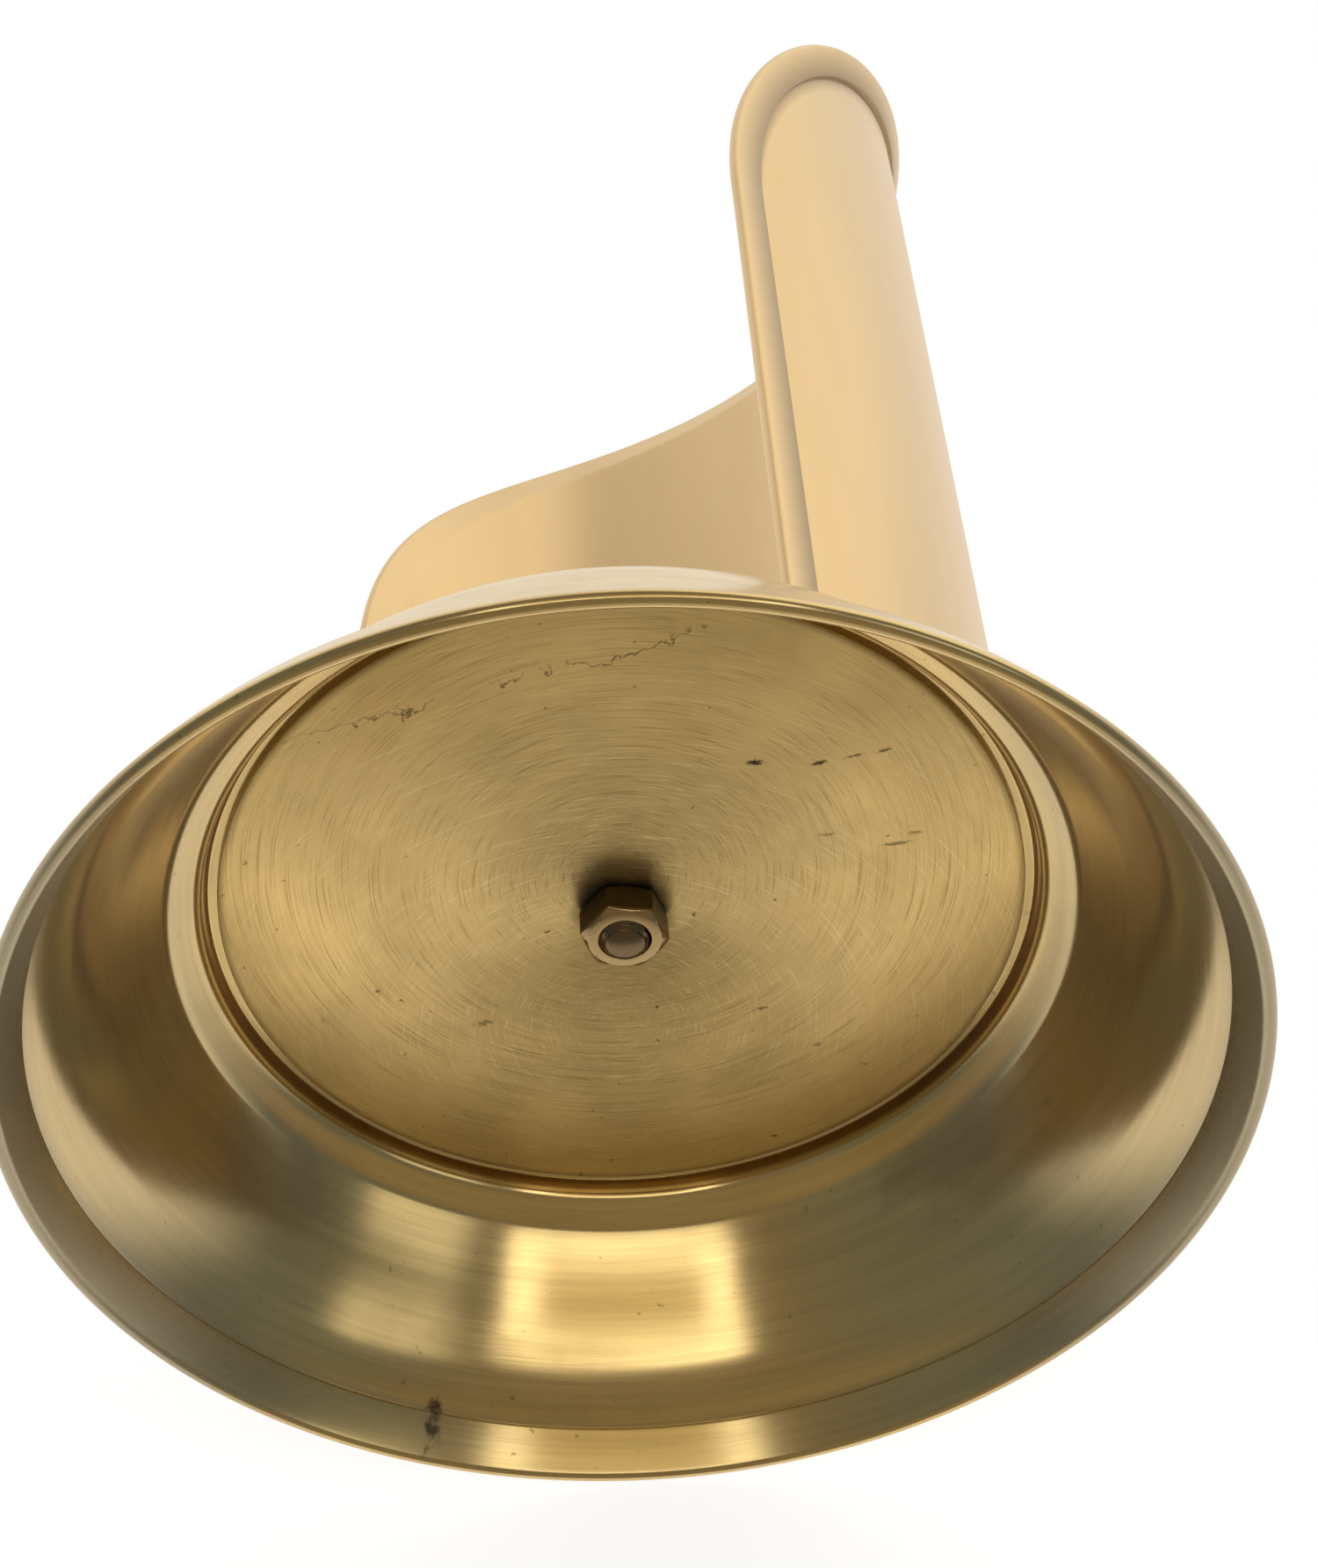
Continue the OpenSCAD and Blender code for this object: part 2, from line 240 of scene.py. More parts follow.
def shield_shape():
    """The shield's sheet, with its free edge folded outwards.

    On the flattened sheet the edge is two straight sides and a superellipse arch,
    s = half |cos a|^(2 / 2.47), z = spring + arch sin a. Each ring of points runs from the foot
    up the inner face, round the folded hem's section, and down the outer face. A point at arc
    position s and distance n off the outer face goes to ((r + n) sin(s / r), (r + n) cos(s / r), z).
    """
    half = shield_r * wrap_half
    foot, spring = shield_lo.z, shield_hi.z - arch_h
    a = np.linspace(0, math.pi, 341)
    arch_s = np.sign(np.cos(a)) * half * np.abs(np.cos(a)) ** (2 / 2.47)
    arch = np.stack([arch_s, spring + arch_h * np.sin(a)], -1)
    rise = np.stack([np.full(40, half), np.linspace(foot, spring, 40, endpoint=False)], -1)
    edge = np.concatenate([rise, arch, rise[::-1] * [-1, 1]])
    along = np.zeros_like(edge)
    along[1:-1] = edge[2:] - edge[:-2]
    along[0], along[-1] = (0, 1), (0, -1)
    along /= np.linalg.norm(along, axis=1)[:, None]
    out = np.stack([along[:, 1], -along[:, 0]], -1)
    bend = edge - edge_hem * out
    count = len(edge)
    foot_s = (half - edge_hem - 0.5 * mm) * (1 - 2 * np.arange(count) / (count - 1))

    roll = shield_wall + 0.25 * mm
    tip = edge_hem - roll
    middle = np.array([tip, tip * math.tan(edge_flare) + roll - shield_wall])
    bow = middle + roll * ring(edge_flare - math.pi / 2 + math.pi * np.linspace(0, 1, 21))
    crease = rounded([(-2 * mm, -shield_wall), (0, -shield_wall), bow[0]], [0, 5 * mm, 0], 7, False)
    raw = rounded([bow[-1], (0.2 * mm, shield_wall), (0.2 * mm, 0), (-1 * mm, 0)],
                  [0, 0.25 * mm, 0.05 * mm, 0], 5, False)
    inside = crease[1:-1]
    band = bow[0] + (bow[0] - inside[-1]) * np.linspace(-0.75, 0, 4)[:-1, None]
    fold = np.concatenate([inside, band, bow, raw[1:-1]])
    e, n = fold[:, 0], fold[:, 1]

    t = np.linspace(0, 1, 44, endpoint=False)[None, :]
    start, end = bend + e[0] * out, bend + e[-1] * out
    foot_z = np.full(count, foot)
    foot_s, foot_z = foot_s[:, None] * (1 - t), foot_z[:, None] * (1 - t)
    up_s, up_z = foot_s + start[:, :1] * t, foot_z + start[:, 1:] * t
    down_s, down_z = (foot_s + end[:, :1] * t)[:, ::-1], (foot_z + end[:, 1:] * t)[:, ::-1]
    s = np.concatenate([up_s, bend[:, :1] + e * out[:, :1], down_s], 1)
    z = np.concatenate([up_z, bend[:, 1:] + e * out[:, 1:], down_z], 1)
    off = np.concatenate([np.full(t.size, -shield_wall), n, np.zeros(t.size)])[None, :]
    z = np.maximum(z, foot)
    turn = s / shield_r
    points = np.stack([(shield_r + off) * np.sin(turn), (shield_r + off) * np.cos(turn), z], -1)
    cols = s.shape[1]
    caps = [range(cols - 1, -1, -1), range((count - 1) * cols, count * cols)]
    # Painted shade with some grime: points along the raw edge of the fold, which the material darkens.
    corner = np.abs(e - 0.2 * mm) < 0.25 * mm
    grime_and_shade = np.concatenate([np.zeros(t.size), corner & (n > -0.5 * shield_wall), np.zeros(t.size)])
    grime_and_shade = np.broadcast_to(grime_and_shade, (count, cols)).ravel()
    return (points.reshape(-1, 3), grid_faces(count, cols, False, True)), caps, grime_and_shade


def nut_shape():
    """A hexagon nut: at angle t its side stands at half width / cos(t from the flat), with the
    corners softened, and a cone of 30 degrees cuts the corners of both faces."""
    sector = np.linspace(-1, 1, 25)[:-1]
    from_flat = (math.pi / 6) * sector * (1.5 - 0.5 * sector ** 2)
    t = (nut_turn + math.pi / 6 + from_flat[None, :] + np.arange(6)[:, None] * math.pi / 3).reshape(-1, 1)
    side = nut_half / np.cos(np.tile(from_flat, 6))[:, None]
    corner = nut_half / math.cos(math.pi / 6)
    side = (side ** -60 + (corner * 0.996) ** -60) ** (-1 / 60)
    face, bore, sink = 0.92 * nut_half, stud_r + 0.05 * mm, 0.4 * mm
    drop = (side - face) * math.tan(math.pi / 6)
    lo, hi, soft = nut_lo.z, nut_hi.z, 0.12 * mm
    one = np.ones_like(side)
    r = np.concatenate([bore * one, bore * one, (bore + sink) * one, (face - soft) * one, face * one + soft,
                        side - soft, side, side, side - soft, face * one, bore * one], 1)
    z = np.concatenate([(lo + 3 * mm) * one, (lo + sink) * one, lo * one, lo * one, (lo + soft * 0.5) * one,
                        lo + drop, lo + drop + 1.5 * soft, hi - drop - 1.5 * soft, hi - drop,
                        hi * one, hi * one], 1)
    points = np.stack([r * np.cos(t), r * np.sin(t), z], -1)
    return points.reshape(-1, 3), grid_faces(len(t), r.shape[1], True, True)


def stud_shape():
    """A threaded stud with a domed end: z = apex + height (1 - cos a), r = crown sin a, then the
    thread, cut down at its start by a 45 degree cone."""
    apex, crown = stud_lo.z, stud_r - 0.55 * mm
    a = np.linspace(0, math.pi / 2, 14)
    dome_r, dome_z = crown * np.sin(a), apex + 0.8 * mm * (1 - np.cos(a))
    row = np.linspace(dome_z[-1] + 0.05 * mm, apex + 7 * mm, 90)
    z = np.concatenate([dome_z, row, [stud_hi.z - 0.8 * mm, stud_hi.z, stud_hi.z]])[None, :]
    limit = np.concatenate([dome_r, np.minimum(stud_r, crown + 1.2 * (row - dome_z[-1])),
                            [stud_r, stud_r - 0.8 * mm, 0]])[None, :]
    cut = np.concatenate([np.zeros(14), np.ones(90), np.zeros(3)])[None, :]

    def radius(t):
        return np.minimum(limit, stud_r - cut * thread(t, z, 1.25 * mm, 0.6 * mm))

    return turned_varying(radius, z, 128)


def screw_shape():
    """The clamp screw: pin, threaded shank and knob about one axis. The knob's edge is scalloped by
    24 round grooves: r = c cos d - sqrt(g^2 - (c sin d)^2) where the groove of radius g reaches."""
    tip, shank, knob = -pad_lo.y - 1.5 * mm, -pad_lo.y + 0.1 * mm, 28 * mm
    end = -screw_lo.y
    core = screw_r / 2
    row = np.linspace(shank, knob, 150)
    dish = 0.7 * mm
    knob_outline = rounded(
        [(screw_r, knob), (knob_r, knob), (knob_r, end), (5.6 * mm, end), (5.0 * mm, end - dish),
         (0, end - dish)],
        [0, 0.9 * mm, 1.4 * mm, 0.4 * mm, 0.4 * mm, 0], 7, False)
    r0 = np.concatenate([[0, core - 0.2 * mm, core, core], np.full(150, screw_r), knob_outline[:, 0]])
    r0 = r0[None, :]
    z = np.concatenate([[tip, tip, tip + 0.2 * mm, shank], row, knob_outline[:, 1]])[None, :]
    cut = np.concatenate([np.zeros(4), np.ones(150), np.zeros(len(knob_outline))])[None, :]
    ridge = np.clip((knob_outline[:, 0] - 0.8 * knob_r) / (0.05 * knob_r), 0, 1)
    scalloped = np.concatenate([np.zeros(154), ridge])[None, :]
    centre, groove = knob_r + 0.35 * mm, 0.8 * mm

    def radius(t):
        d = (t + math.pi / 24) % (math.pi / 12) - math.pi / 24
        reach = np.maximum(groove ** 2 - (centre * np.sin(d)) ** 2, 0)
        edge = np.where(reach > 0, centre * np.cos(d) - np.sqrt(reach), knob_r)
        worn = knob_r - (knob_r - np.minimum(edge, knob_r)) * 0.95
        return np.minimum(r0 - cut * thread(t, z, 1.0 * mm, 0.5 * mm), r0 - scalloped * (knob_r - worn))

    points, faces = turned_varying(radius, z, 384)
    return onto_screw_axis(points), faces


def boss_shape():
    """The boss round the clamp screw: its outline turned about the screw's axis, with its inner end
    laid on the tube, y = -sqrt(tube^2 - x^2)."""
    steps, bore, r, end = 160, screw_r + 0.05 * mm, (boss_hi.z - boss_lo.z) / 2, -boss_lo.y
    outline = rounded([(bore, 0), (r, 0), (r, end), (bore, end)], [0, 0, 1.0 * mm, 0.3 * mm], 7)
    t = np.arange(steps)[:, None] * 2 * math.pi / steps
    x, y = outline[None, :, 0] * np.cos(t), outline[None, :, 0] * np.sin(t)
    seat = np.sqrt((tube_r - 0.02 * mm) ** 2 - x ** 2)
    z = np.where(outline[None, :, 1] < 1 * mm, seat, outline[None, :, 1])
    points = np.stack([x, y, z], -1).reshape(-1, 3)
    return onto_screw_axis(points), grid_faces(steps, len(outline), True, True)


def braze_shape():
    """A braze fillet round the boss where it meets the tube: a hollow quarter round that runs from
    the tube's surface to the boss's side, worked out along the saddle curve."""
    steps, r, leg = 160, (boss_hi.z - boss_lo.z) / 2, 1.1 * mm
    t = np.arange(steps)[:, None] * 2 * math.pi / steps
    a = np.linspace(0, math.pi / 2, 8)[None, :]
    wobble = 1 + 0.12 * np.sin(3 * t + 1) + 0.08 * np.sin(7 * t)
    rho = np.concatenate([r + leg * wobble * (1 - np.sin(a)), (r - 0.3 * mm) + 0 * t], 1)
    lift = np.concatenate([leg * wobble * (1 - np.cos(a)), 0 * t], 1)
    x, y = rho * np.cos(t), rho * np.sin(t)
    z = np.sqrt(tube_r ** 2 - x ** 2) + lift - 0.03 * mm
    points = np.stack([x, y, z], -1).reshape(-1, 3)
    return onto_screw_axis(points), grid_faces(steps, rho.shape[1], True, True)


def seam_shape(r, z, leg, steps=256):
    """A solder fillet in the corner between a wall of radius r and a floor at height z: a hollow
    quarter round whose leg wavers with the angle."""
    t = np.arange(steps)[:, None] * 2 * math.pi / steps
    a = np.linspace(0, math.pi / 2, 8)[None, :]
    wobble = abs(leg) * (1 + 0.15 * np.sin(2 * t + 0.4) + 0.1 * np.sin(5 * t + 2) + 0.06 * np.sin(13 * t))
    out = math.copysign(1, leg)
    rho = np.concatenate([r + out * wobble * (1 - np.sin(a)), r - out * 0.2 * mm + 0 * t], 1)
    height = np.concatenate([z - 0.02 * mm + wobble * (1 - np.cos(a)), z - 0.02 * mm + 0 * t], 1)
    points = np.stack([rho * np.cos(t), rho * np.sin(t), height], -1)
    return points.reshape(-1, 3), grid_faces(steps, rho.shape[1], True, True)


# ---- materials ----

def linear(code):
    """Linear RGBA of an sRGB hex code."""
    srgb = np.array([int(code[k:k + 2], 16) for k in (1, 3, 5)]) / 255
    low = srgb <= 0.04045
    return tuple(np.where(low, srgb / 12.92, ((srgb + 0.055) / 1.055) ** 2.4)) + (1.0,)


def add(tree, kind, settings={}, inputs={}):
    """Adds a node with its settings; an input is a number, a colour or another node's output."""
    node = tree.nodes.new("ShaderNode" + kind)
    for key, value in settings.items():
        setattr(node, key, value)
    for key, value in inputs.items():
        if isinstance(value, bpy.types.NodeSocket):
            tree.links.new(value, node.inputs[key])
        else:
            node.inputs[key].default_value = value
    return node.outputs


def surface(name):
    """An empty material and its node tree, with the shader joined to the output."""
    made = bpy.data.materials.new(name)
    made.use_nodes = True
    return made, made.node_tree, made.node_tree.nodes["Principled BSDF"]


def blend_colour(tree, share, a, b):
    return add(tree, "Mix", {"data_type": "RGBA"}, {0: share, 6: a, 7: b})[2]


def band(tree, value, lo, hi, to_lo=0.0, to_hi=1.0):
    return add(tree, "MapRange", {"interpolation_type": "SMOOTHSTEP"},
               {0: value, 1: lo, 2: hi, 3: to_lo, 4: to_hi})[0]


def times(tree, a, b):
    return add(tree, "Math", {"operation": "MULTIPLY"}, {0: a, 1: b})[0]


def scaled(tree, colour, amount):
    return add(tree, "VectorMath", {"operation": "SCALE"}, {0: colour, 3: amount})[0]


def dot(tree, a, b):
    return add(tree, "VectorMath", {"operation": "DOT_PRODUCT"}, {0: a, 1: b})[1]


def spun_lines(tree, place, spacing, sweep, detail=3.0):
    """Noise drawn out round the axis, as the tool leaves it: its vector is (cos t, sin t) * sweep across
    and (r - z) / spacing along the section, so a line is one spacing wide and about 1 / sweep rad long."""
    flat = add(tree, "VectorMath", {"operation": "MULTIPLY"}, {0: place, 1: (1, 1, 0)})[0]
    r = add(tree, "VectorMath", {"operation": "LENGTH"}, {0: flat})[1]
    unit = add(tree, "VectorMath", {"operation": "NORMALIZE"}, {0: flat})[0]
    z = add(tree, "SeparateXYZ", {}, {0: place})[2]
    s = add(tree, "Math", {"operation": "SUBTRACT"}, {0: r, 1: z})[0]
    s = add(tree, "Math", {"operation": "DIVIDE"}, {0: s, 1: spacing})[0]
    sweep = scaled(tree, unit, sweep)
    rise = add(tree, "CombineXYZ", {}, {2: s})[0]
    vector = add(tree, "VectorMath", {"operation": "ADD"}, {0: sweep, 1: rise})[0]
    return add(tree, "TexNoise", {}, {"Vector": vector, "Scale": 1.0, "Detail": detail, "Roughness": 0.6})[0]


def moved(tree, place, shift):
    return add(tree, "VectorMath", {"operation": "SUBTRACT"}, {0: place, 1: shift})[0]


def spread(tree, place):
    """Distance from the axis, and the share |cos t| of the direction t that points along (0.585, 0.811)."""
    flat = add(tree, "VectorMath", {"operation": "MULTIPLY"}, {0: place, 1: (1, 1, 0)})[0]
    unit = add(tree, "VectorMath", {"operation": "NORMALIZE"}, {0: flat})[0]
    side = dot(tree, unit, (0.585, 0.811, 0))
    radius = add(tree, "VectorMath", {"operation": "LENGTH"}, {0: flat})[1]
    return radius, add(tree, "Math", {"operation": "ABSOLUTE"}, {0: side})[0]


def stain(tree, place, centre, size, turn, ragged, tear=2.6):
    """Share of one dark mark: 1 inside an ellipse whose edge is broken up by noise, 0 outside."""
    local = add(tree, "Mapping", {"vector_type": "TEXTURE"},
                {0: place, 1: centre, 2: (0, 0, turn), 3: size})[0]
    off = add(tree, "VectorMath", {"operation": "LENGTH"}, {0: local})[1]
    rough = add(tree, "TexNoise", {}, {"Vector": place, "Scale": ragged, "Detail": 4.0, "Roughness": 0.7})[0]
    edge = add(tree, "Math", {"operation": "MULTIPLY_ADD"}, {0: rough, 1: -tear, 2: off})[0]
    return band(tree, edge, 1 - tear / 2, 0.4 - tear / 2)


def brass(name, colour, tarnish, roughness, patchy, fleck_share, haze):
    """Bare brass: its colour broken by clouds of thin tarnish and by flecks, under a dull coat that
    scatters some of the light widely."""
    made, tree, shader = surface(name)
    place = add(tree, "TexCoord")["Object"]
    cloud = add(tree, "TexNoise", {}, {"Vector": place, "Scale": 22.0, "Detail": 5.0, "Roughness": 0.55})[0]
    fleck = add(tree, "TexNoise", {}, {"Vector": place, "Scale": 420.0, "Detail": 2.0, "Roughness": 0.6})[0]
    patch = band(tree, cloud, 0.5, 0.72)
    tone = blend_colour(tree, times(tree, patch, patchy), linear(colour), linear(tarnish))
    tone = blend_colour(tree, times(tree, band(tree, fleck, 0.7, 0.78), fleck_share), tone, linear("#4A3518"))
    shader.inputs["Metallic"].default_value = 1.0
    shader.inputs["Coat Weight"].default_value = haze
    shader.inputs["Coat Roughness"].default_value = 0.6
    shader.inputs["Coat IOR"].default_value = 1.6
    rough = add(tree, "Math", {"operation": "MULTIPLY_ADD"}, {0: patch, 1: 0.06, 2: roughness})[0]
    return made, tree, shader, place, tone, rough


def finish(tree, shader, tone, rough, height=None, depth=0.0, anisotropy=0.0):
    """Joins colour, roughness and height to the shader; a turned face stretches its reflections
    across the tool marks, which run round Z."""
    tree.links.new(tone, shader.inputs["Base Color"])
    tree.links.new(rough, shader.inputs["Roughness"])
    if height:
        bump = add(tree, "Bump", {}, {"Strength": 1.0, "Distance": depth, "Height": height})[0]
        tree.links.new(bump, shader.inputs["Normal"])
    if anisotropy:
        tangent = add(tree, "Tangent", {"direction_type": "RADIAL", "axis": "Z"})[0]
        tree.links.new(tangent, shader.inputs["Tangent"])
        shader.inputs["Anisotropic"].default_value = anisotropy
        shader.inputs["Anisotropic Rotation"].default_value = 0.25


def marked(tree, tone, share, code):
    return blend_colour(tree, share, tone, linear(code))


def turned_brass(name, colour, tarnish, roughness, spacing, sweep, depth, anisotropy, haze=0.3):
    """Turned brass: fine rings that stretch each reflection across them, and thin tarnish."""
    made, tree, shader, place, tone, rough = brass(name, colour, tarnish, roughness, 0.45, 0.5, haze)
    lines = spun_lines(tree, place, spacing, sweep)
    rough = times(tree, rough, band(tree, lines, 0.25, 0.75, 0.82, 1.2))
    tone = scaled(tree, tone, band(tree, lines, 0.3, 0.7, 0.94, 1.04))
    finish(tree, shader, tone, rough, lines, depth, anisotropy)
    return made


# Spun and brushed by hand: long soft reflections across fine rings, painted reflection as a grey tone
# near the rim and beside the disc on the left and right sides, a brown stain at the hem and brown patches on
# the wall.
base_brass, tree, shader, place, tone, rough = brass(
    "brass_spun_brushed", "#D8BE86", "#A08452", 0.16, 0.3, 0.5, 0.06)
lines = spun_lines(tree, place, 0.3 * mm, 5.0)
broad = spun_lines(tree, place, 2.2 * mm, 1.6)
tone = scaled(tree, tone, band(tree, broad, 0.3, 0.7, 0.9, 1.05))
for centre, size, turn, ragged, tear, strong, code in (
        ((-94.5, 20, 7.5), (2.2, 3.4, 7), 1.36, 400.0, 2.6, 0.85, "#3E2C20"),
        ((-76.5, -25, 32), (12, 22, 10), 0.3, 60.0, 1.2, 0.3, "#7A5638"),
        ((-12, 78, 34), (22, 10, 8), 0.1, 60.0, 1.2, 0.3, "#745238")):
    spot = stain(tree, place, [v * mm for v in centre], [v * mm for v in size], turn, ragged, tear)
    tone = marked(tree, tone, times(tree, spot, strong), code)
rough = times(tree, rough, band(tree, lines, 0.25, 0.75, 0.85, 1.15))
radius, side = spread(tree, place)
# Painted reflection: a grey tone near the rim, strongest on the left and right sides, which are also made
# rougher.
painted_rim_reflection = times(tree, band(tree, radius, 92.5 * mm, 96 * mm), band(tree, side, 0.5, 0.9, 0.12, 0.65))
tone = marked(tree, tone, painted_rim_reflection, "#8F8A80")
# Painted reflection: a grey tone on the ledge beside the disc, on the left and right sides only.
painted_ledge_reflection = times(tree, band(tree, radius, 66 * mm, 74 * mm), band(tree, side, 0.6, 0.92, 0.0, 0.4))
tone = marked(tree, tone, painted_ledge_reflection, "#A9A796")
rough = add(tree, "Math", {"operation": "MULTIPLY_ADD"}, {0: painted_rim_reflection, 1: 0.25, 2: rough})[0]
shader.inputs["Sheen Weight"].default_value = 0.35
shader.inputs["Sheen Tint"].default_value = linear("#E2E0D2")
shader.inputs["Sheen Roughness"].default_value = 0.45
finish(tree, shader, tone, rough, lines, 0.002 * mm, 0.3)

# Faced with coarse emery: crisp arcs that swing about two centres, black ink-like marks and a wandering
# hairline scratch.
disc_brass, tree, shader, place, tone, rough = brass(
    "brass_disc_coarse_turned", "#DABF82", "#A48040", 0.32, 0.3, 0.7, 0.35)
swing = spun_lines(tree, moved(tree, place, (0.006, -0.004, 0)), 0.22 * mm, 3.0, 4.0)
cross = spun_lines(tree, moved(tree, place, (-0.024, 0.014, 0)), 0.25 * mm, 4.0, 4.0)
wide = add(tree, "TexNoise", {}, {"Vector": place, "Scale": 45.0, "Detail": 3.0, "Roughness": 0.5})[0]
scratch = band(tree, swing, 0.55, 0.64)
light_line = band(tree, cross, 0.56, 0.65)
tone = scaled(tree, tone, band(tree, wide, 0.3, 0.7, 0.86, 1.08))
radius, side = spread(tree, place)
# Painted reflection: the disc is lighter towards its left and right sides and towards its edge, darker near
# the centre.
painted_disc_reflection = times(tree, band(tree, side, 0.35, 0.95, 0.94, 1.04), band(tree, radius, 10 * mm, 62 * mm, 0.72, 1.16))
tone = scaled(tree, tone, painted_disc_reflection)
tone = marked(tree, tone, times(tree, scratch, 0.36), "#7E6230")
tone = marked(tree, tone, times(tree, light_line, 0.4), "#F6E2AC")
for x, y, long, thick, turn, strong in (
        (38.7, -0.5, 1.6, 0.7, 0.9, 0.95), (43.8, 8.1, 1.5, 0.5, 0.75, 0.9),
        (48.0, 12.0, 2.2, 0.35, 0.7, 0.7), (51.5, 15.5, 1.8, 0.4, 0.6, 0.75),
        (31.9, 18.3, 2.0, 0.4, 0.9, 0.4), (36.4, 29.3, 3.4, 0.5, 0.8, 0.6),
        (40.0, 30.5, 1.6, 0.5, 0.8, 0.5), (-34.6, -5.9, 2.0, 0.9, 0.6, 0.5),
        (-6.5, 33.0, 1.2, 0.5, 0.9, 0.6), (-9.0, 46.5, 1.0, 0.6, 0.4, 0.45)):
    spot = stain(tree, place, (x * mm, y * mm, disc_lo.z), (long * mm, thick * mm, 0.01), turn, 1500.0)
    tone = marked(tree, tone, times(tree, spot, strong), "#1E180E")
wander = add(tree, "TexNoise", {}, {"Vector": place, "Scale": 70.0, "Detail": 5.0, "Roughness": 0.65})[0]
flat_x, flat_y, flat_z = add(tree, "SeparateXYZ", {}, {0: place})[:3]
chord = times(tree, flat_x, 0.619)
chord = add(tree, "Math", {"operation": "MULTIPLY_ADD"}, {0: flat_y, 1: -0.785, 2: chord})[0]
chord = add(tree, "Math", {"operation": "MULTIPLY_ADD"}, {0: wander, 1: 0.018, 2: chord})[0]
gap = add(tree, "Math", {"operation": "ABSOLUTE"}, {0: moved(tree, chord, (0.0625, 0.0625, 0.0625))})[0]
# Painted shade with some grime: a dark ring with a ragged edge round the nut.
ragged = add(tree, "Math", {"operation": "MULTIPLY_ADD"}, {0: wander, 1: 6 * mm, 2: radius})[0]
tone = marked(tree, tone, band(tree, ragged, 12.5 * mm, 9.0 * mm, 0.0, 0.8), "#3A2E16")
# Painted shade: a darker ring at the disc's edge, where it sits in the groove.
tone = marked(tree, tone, band(tree, radius, 65.2 * mm, 66.6 * mm, 0.0, 0.5), "#5A4420")
hairline = times(tree, band(tree, gap, 0.3 * mm, 0.05 * mm), band(tree, wander, 0.4, 0.56))
tone = marked(tree, tone, times(tree, hairline, 0.75), "#4E3824")
finish(tree, shader, tone, times(tree, rough, band(tree, swing, 0.25, 0.75, 0.8, 1.2)),
       add(tree, "Math", {"operation": "ADD"}, {0: swing, 1: cross})[0], 0.008 * mm, 0.8)

# Rolled sheet with a satin lacquered face: wide soft highlights over slow waves left by the bending.
sheet_brass, tree, shader, place, tone, rough = brass(
    "brass_sheet_satin", "#D3B98E", "#C2A473", 0.26, 0.0, 0.05, 0.2)
drawn = add(tree, "VectorMath", {"operation": "MULTIPLY"}, {0: place, 1: (40, 40, 6)})[0]
drawn = add(tree, "TexNoise", {}, {"Vector": drawn, "Scale": 1.0, "Detail": 3.0, "Roughness": 0.5})[0]
tone = scaled(tree, tone, band(tree, drawn, 0.3, 0.7, 0.92, 1.04))
# Painted shade with some grime: the sheet is darkened along the raw edge of the fold.
seam_dirt_and_shade = times(tree, add(tree, "Attribute", {"attribute_name": "grime_and_shade"})["Fac"], 0.65)
tone = marked(tree, tone, seam_dirt_and_shade, "#6A5430")
for x, y, z, long, strong in (
        (33.0, 60.0, 262.0, 1.6, 0.8), (60.0, 34.0, 236.0, 1.4, 0.35), (64.0, 24.0, 200.0, 0.8, 0.4)):
    spot = stain(tree, place, (x * mm, y * mm, z * mm), (long * mm, long * mm, 2 * long * mm), 0.5, 900.0)
    tone = marked(tree, tone, times(tree, spot, strong), "#4A3C28")
finish(tree, shader, tone, band(tree, drawn, 0.25, 0.75, 0.25, 0.31))

# Fine-turned fittings: tight rings and bright edges.
fitting_brass = turned_brass("brass_fine_turned", "#DDB56A", "#94703C", 0.22, 0.3 * mm, 8.0, 0.004 * mm, 0.5)
# Old nut: a rubbed tan face; its six flats are darkened nearly to black as painted shade.
nut_brass, tree, shader, place, tone, rough = brass(
    "brass_nut_tarnish_and_painted_shade", "#A8926A", "#5A4A30", 0.22, 0.4, 0.6, 0.15)
height = add(tree, "SeparateXYZ", {}, {0: place})[2]
# Painted shade: the flats above the face are darkened nearly to black.
tone = marked(tree, tone, band(tree, height, nut_lo.z + 0.5 * mm, nut_lo.z + 1.5 * mm, 0.0, 0.72), "#2A2414")
finish(tree, shader, tone, rough)
# Machined thread: sharp small highlights over brown film.
stud_brass = turned_brass(
    "brass_stud_machined", "#6E5E46", "#3E3220", 0.16, 0.2 * mm, 8.0, 0.004 * mm, 0.0)

# Pressed wool felt: matt, fibrous, dark red.
felt, tree, shader = surface("felt_pressed")
place = add(tree, "TexCoord")["Object"]
fibre = add(tree, "TexNoise", {}, {"Vector": place, "Scale": 1400.0, "Detail": 6.0, "Roughness": 0.7,
                                   "Distortion": 1.5})[0]
tone = blend_colour(tree, band(tree, fibre, 0.3, 0.7), linear("#3A1214"), linear("#7A2A2C"))
bump = add(tree, "Bump", {}, {"Strength": 0.8, "Distance": 0.2 * mm, "Height": fibre})[0]
tree.links.new(tone, shader.inputs["Base Color"])
tree.links.new(bump, shader.inputs["Normal"])
shader.inputs["Roughness"].default_value = 0.95
shader.inputs["Sheen Weight"].default_value = 0.5
shader.inputs["Sheen Roughness"].default_value = 0.5

# Soft solder and braze: dull silver-grey, lumpy as it froze.
solder, tree, shader = surface("solder_soft_tinned")
place = add(tree, "TexCoord")["Object"]
cloud = add(tree, "TexNoise", {}, {"Vector": place, "Scale": 260.0, "Detail": 4.0, "Roughness": 0.6})[0]
tone = blend_colour(tree, band(tree, cloud, 0.35, 0.7), linear("#B9B4A6"), linear("#7C7768"))
bump = add(tree, "Bump", {}, {"Strength": 0.6, "Distance": 0.15 * mm, "Height": cloud})[0]
tree.links.new(tone, shader.inputs["Base Color"])
tree.links.new(band(tree, cloud, 0.3, 0.7, 0.28, 0.5), shader.inputs["Roughness"])
tree.links.new(bump, shader.inputs["Normal"])
shader.inputs["Metallic"].default_value = 1.0


# ---- pieces ----

piece("base_shell_spun", turned(base_outline(), 512), base_brass, "stand", ["base_shell"])

